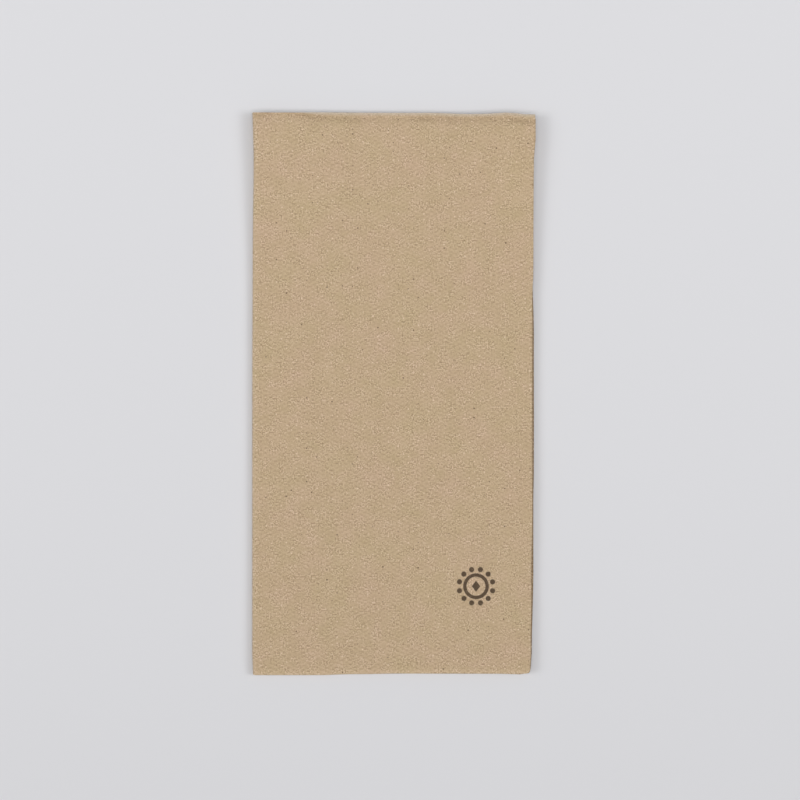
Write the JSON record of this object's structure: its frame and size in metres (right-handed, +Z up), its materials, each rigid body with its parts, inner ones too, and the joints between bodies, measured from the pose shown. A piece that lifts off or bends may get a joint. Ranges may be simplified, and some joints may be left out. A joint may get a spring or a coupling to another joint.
{
  "type": "paper napkin",
  "caption": "Unbleached paper napkin folded to a flat oblong, with a rounded spine on one long side and stepped cut edges on a short side.",
  "frame": {"origin": "centre of the underside, on the surface that the napkin lies on", "axes": "+X towards the open long side, away from the spine; +Y towards the cut edges, away from the first fold; +Z up"},
  "size_m": [0.1008, 0.2008, 0.0039],
  "materials": {
    "natural_tissue": "matte"
  },
  "bodies": {
    "root": {"napkin": "natural_tissue"}
  },
  "joints": []
}
